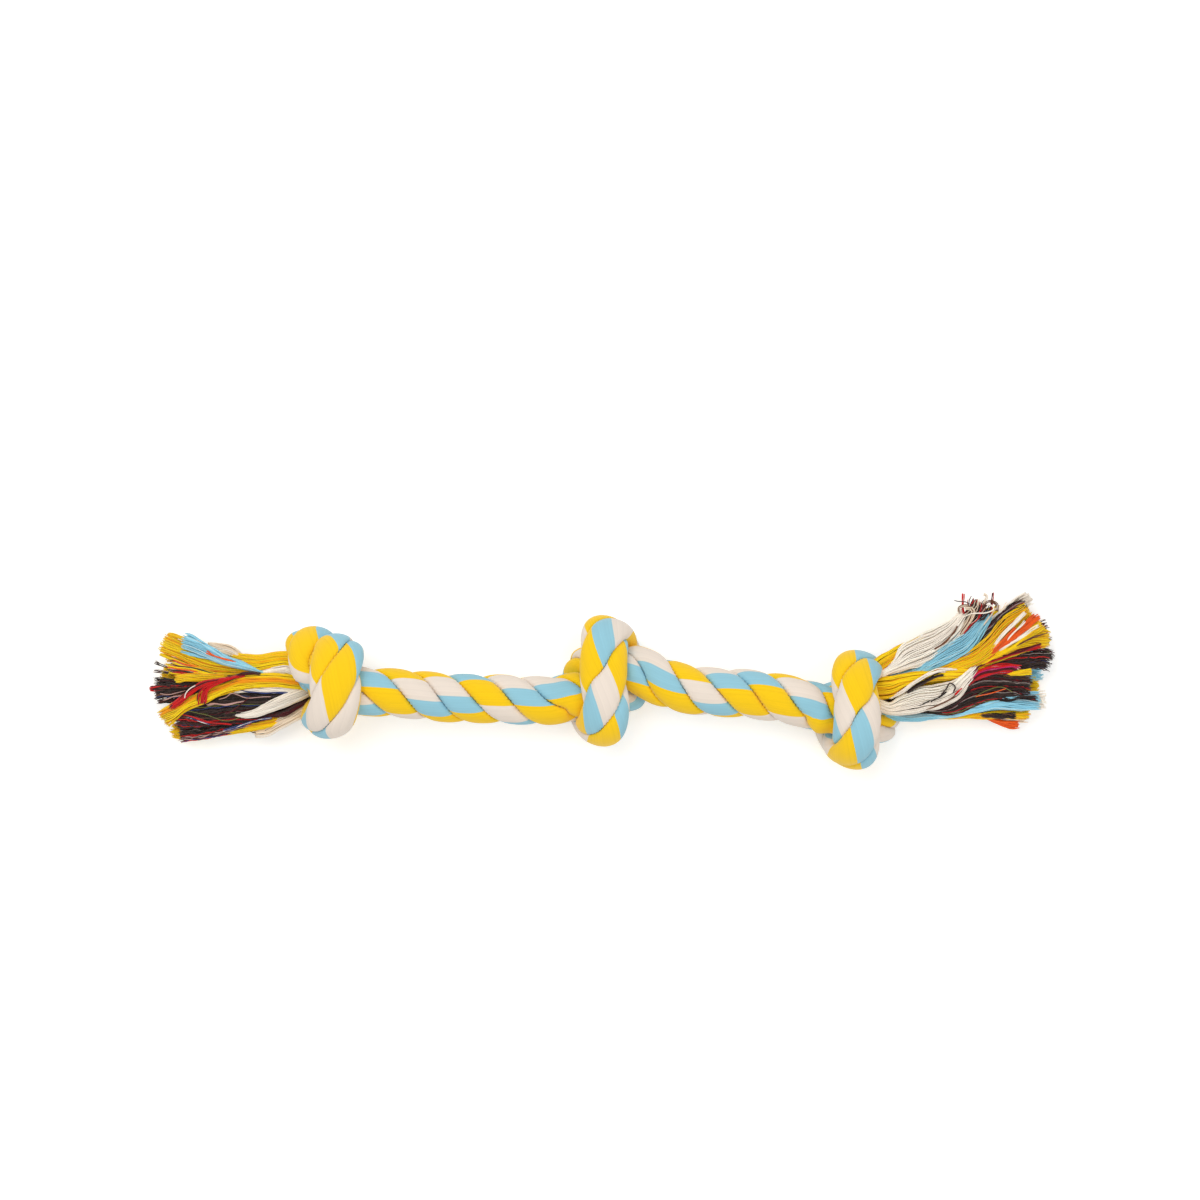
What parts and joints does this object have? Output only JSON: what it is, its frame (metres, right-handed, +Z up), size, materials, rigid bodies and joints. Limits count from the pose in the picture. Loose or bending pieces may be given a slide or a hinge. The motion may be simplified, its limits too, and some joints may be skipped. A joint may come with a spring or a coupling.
{
  "type": "rope dog toy",
  "caption": "Knotted three-strand cotton tug rope for a dog, with overhand knots along it and a frayed yarn tassel at each end.",
  "frame": {"origin": "middle of the toy's box on the floor that it lies on", "axes": "+X along the toy toward the tassel that turns up in the picture, +Y across it, +Z up toward the camera"},
  "size_m": [0.3782, 0.0692, 0.0425],
  "materials": {
    "yarn_yellow": "matt soft-spun cotton",
    "yarn_white": "matt soft-spun cotton",
    "yarn_blue": "matt soft-spun cotton",
    "yarn_dark": "matt mixed recycled cotton"
  },
  "bodies": {
    "mid_knot": {"mid_knot_strand_a": "yarn_yellow", "mid_knot_strand_b": "yarn_white", "mid_knot_strand_c": "yarn_blue"},
    "left_span": {"left_span_strand_a": "yarn_yellow", "left_span_strand_b": "yarn_white", "left_span_strand_c": "yarn_blue", "left_span_first_bend_strand_a": "yarn_yellow", "left_span_first_bend_strand_b": "yarn_white", "left_span_first_bend_strand_c": "yarn_blue", "left_span_last_bend_strand_a": "yarn_yellow", "left_span_last_bend_strand_b": "yarn_white", "left_span_last_bend_strand_c": "yarn_blue"},
    "left_knot": {"left_knot_strand_a": "yarn_yellow", "left_knot_strand_b": "yarn_white", "left_knot_strand_c": "yarn_blue"},
    "left_tassel": {"left_neck_strand_a": "yarn_yellow", "left_neck_strand_b": "yarn_white", "left_neck_strand_c": "yarn_blue", "left_tassel_dark_lock_a": "yarn_dark", "left_tassel_yellow_lock_a": "yarn_yellow", "left_tassel_white_lock_a": "yarn_white", "left_tassel_blue_lock_a": "yarn_blue", "left_tassel_dark_lock_b": "yarn_dark", "left_tassel_yellow_lock_b": "yarn_yellow", "left_tassel_white_lock_b": "yarn_white", "left_tassel_blue_lock_b": "yarn_blue", "left_tassel_dark_lock_c": "yarn_dark", "left_tassel_yellow_lock_c": "yarn_yellow", "left_tassel_white_lock_c": "yarn_white", "left_tassel_blue_lock_c": "yarn_blue"},
    "right_span": {"right_span_strand_a": "yarn_yellow", "right_span_strand_b": "yarn_white", "right_span_strand_c": "yarn_blue", "right_span_first_bend_strand_a": "yarn_yellow", "right_span_first_bend_strand_b": "yarn_white", "right_span_first_bend_strand_c": "yarn_blue", "right_span_last_bend_strand_a": "yarn_yellow", "right_span_last_bend_strand_b": "yarn_white", "right_span_last_bend_strand_c": "yarn_blue"},
    "right_knot": {"right_knot_strand_a": "yarn_yellow", "right_knot_strand_b": "yarn_white", "right_knot_strand_c": "yarn_blue"},
    "right_tassel": {"right_neck_strand_a": "yarn_yellow", "right_neck_strand_b": "yarn_white", "right_neck_strand_c": "yarn_blue", "right_tassel_dark_lock_a": "yarn_dark", "right_tassel_yellow_lock_a": "yarn_yellow", "right_tassel_white_lock_a": "yarn_white", "right_tassel_blue_lock_a": "yarn_blue", "right_tassel_dark_lock_b": "yarn_dark", "right_tassel_yellow_lock_b": "yarn_yellow", "right_tassel_white_lock_b": "yarn_white", "right_tassel_blue_lock_b": "yarn_blue", "right_tassel_dark_lock_c": "yarn_dark", "right_tassel_yellow_lock_c": "yarn_yellow", "right_tassel_white_lock_c": "yarn_white", "right_tassel_blue_lock_c": "yarn_blue"}
  },
  "joints": [
    {"name": "left_span_swing", "type": "hinge", "parent": "mid_knot", "child": "left_span", "pos_m": [-0.02887, -0.00668, 0.02112], "axis": [0, 0, 1], "range_deg": [-40, 40], "deforming": ["left_span_last_bend_strand_a", "left_span_last_bend_strand_b", "left_span_last_bend_strand_c"]},
    {"name": "left_knot_lift", "type": "hinge", "parent": "left_span", "child": "left_knot", "pos_m": [-0.08446, -0.00354, 0.02313], "axis": [0, 1, 0], "range_deg": [0, 40], "deforming": ["left_span_first_bend_strand_a", "left_span_first_bend_strand_b", "left_span_first_bend_strand_c"]},
    {"name": "left_tassel_swing", "type": "hinge", "parent": "left_knot", "child": "left_tassel", "pos_m": [-0.14257, -0.00033, 0.01604], "axis": [0, 0, 1], "range_deg": [-40, 40], "deforming": ["left_neck_strand_a", "left_neck_strand_b", "left_neck_strand_c"]},
    {"name": "right_span_swing", "type": "hinge", "parent": "mid_knot", "child": "right_span", "pos_m": [0.03226, -0.00077, 0.02112], "axis": [0, 0, 1], "range_deg": [-40, 40], "deforming": ["right_span_first_bend_strand_a", "right_span_first_bend_strand_b", "right_span_first_bend_strand_c"]},
    {"name": "right_knot_lift", "type": "hinge", "parent": "right_span", "child": "right_knot", "pos_m": [0.07652, -0.00577, 0.0211], "axis": [0, 1, 0], "range_deg": [-40, 0], "deforming": ["right_span_last_bend_strand_a", "right_span_last_bend_strand_b", "right_span_last_bend_strand_c"]},
    {"name": "right_tassel_swing", "type": "hinge", "parent": "right_knot", "child": "right_tassel", "pos_m": [0.13547, 0.00193, 0.01715], "axis": [0, 0, 1], "range_deg": [-40, 40], "deforming": ["right_neck_strand_a", "right_neck_strand_b", "right_neck_strand_c"]}
  ]
}
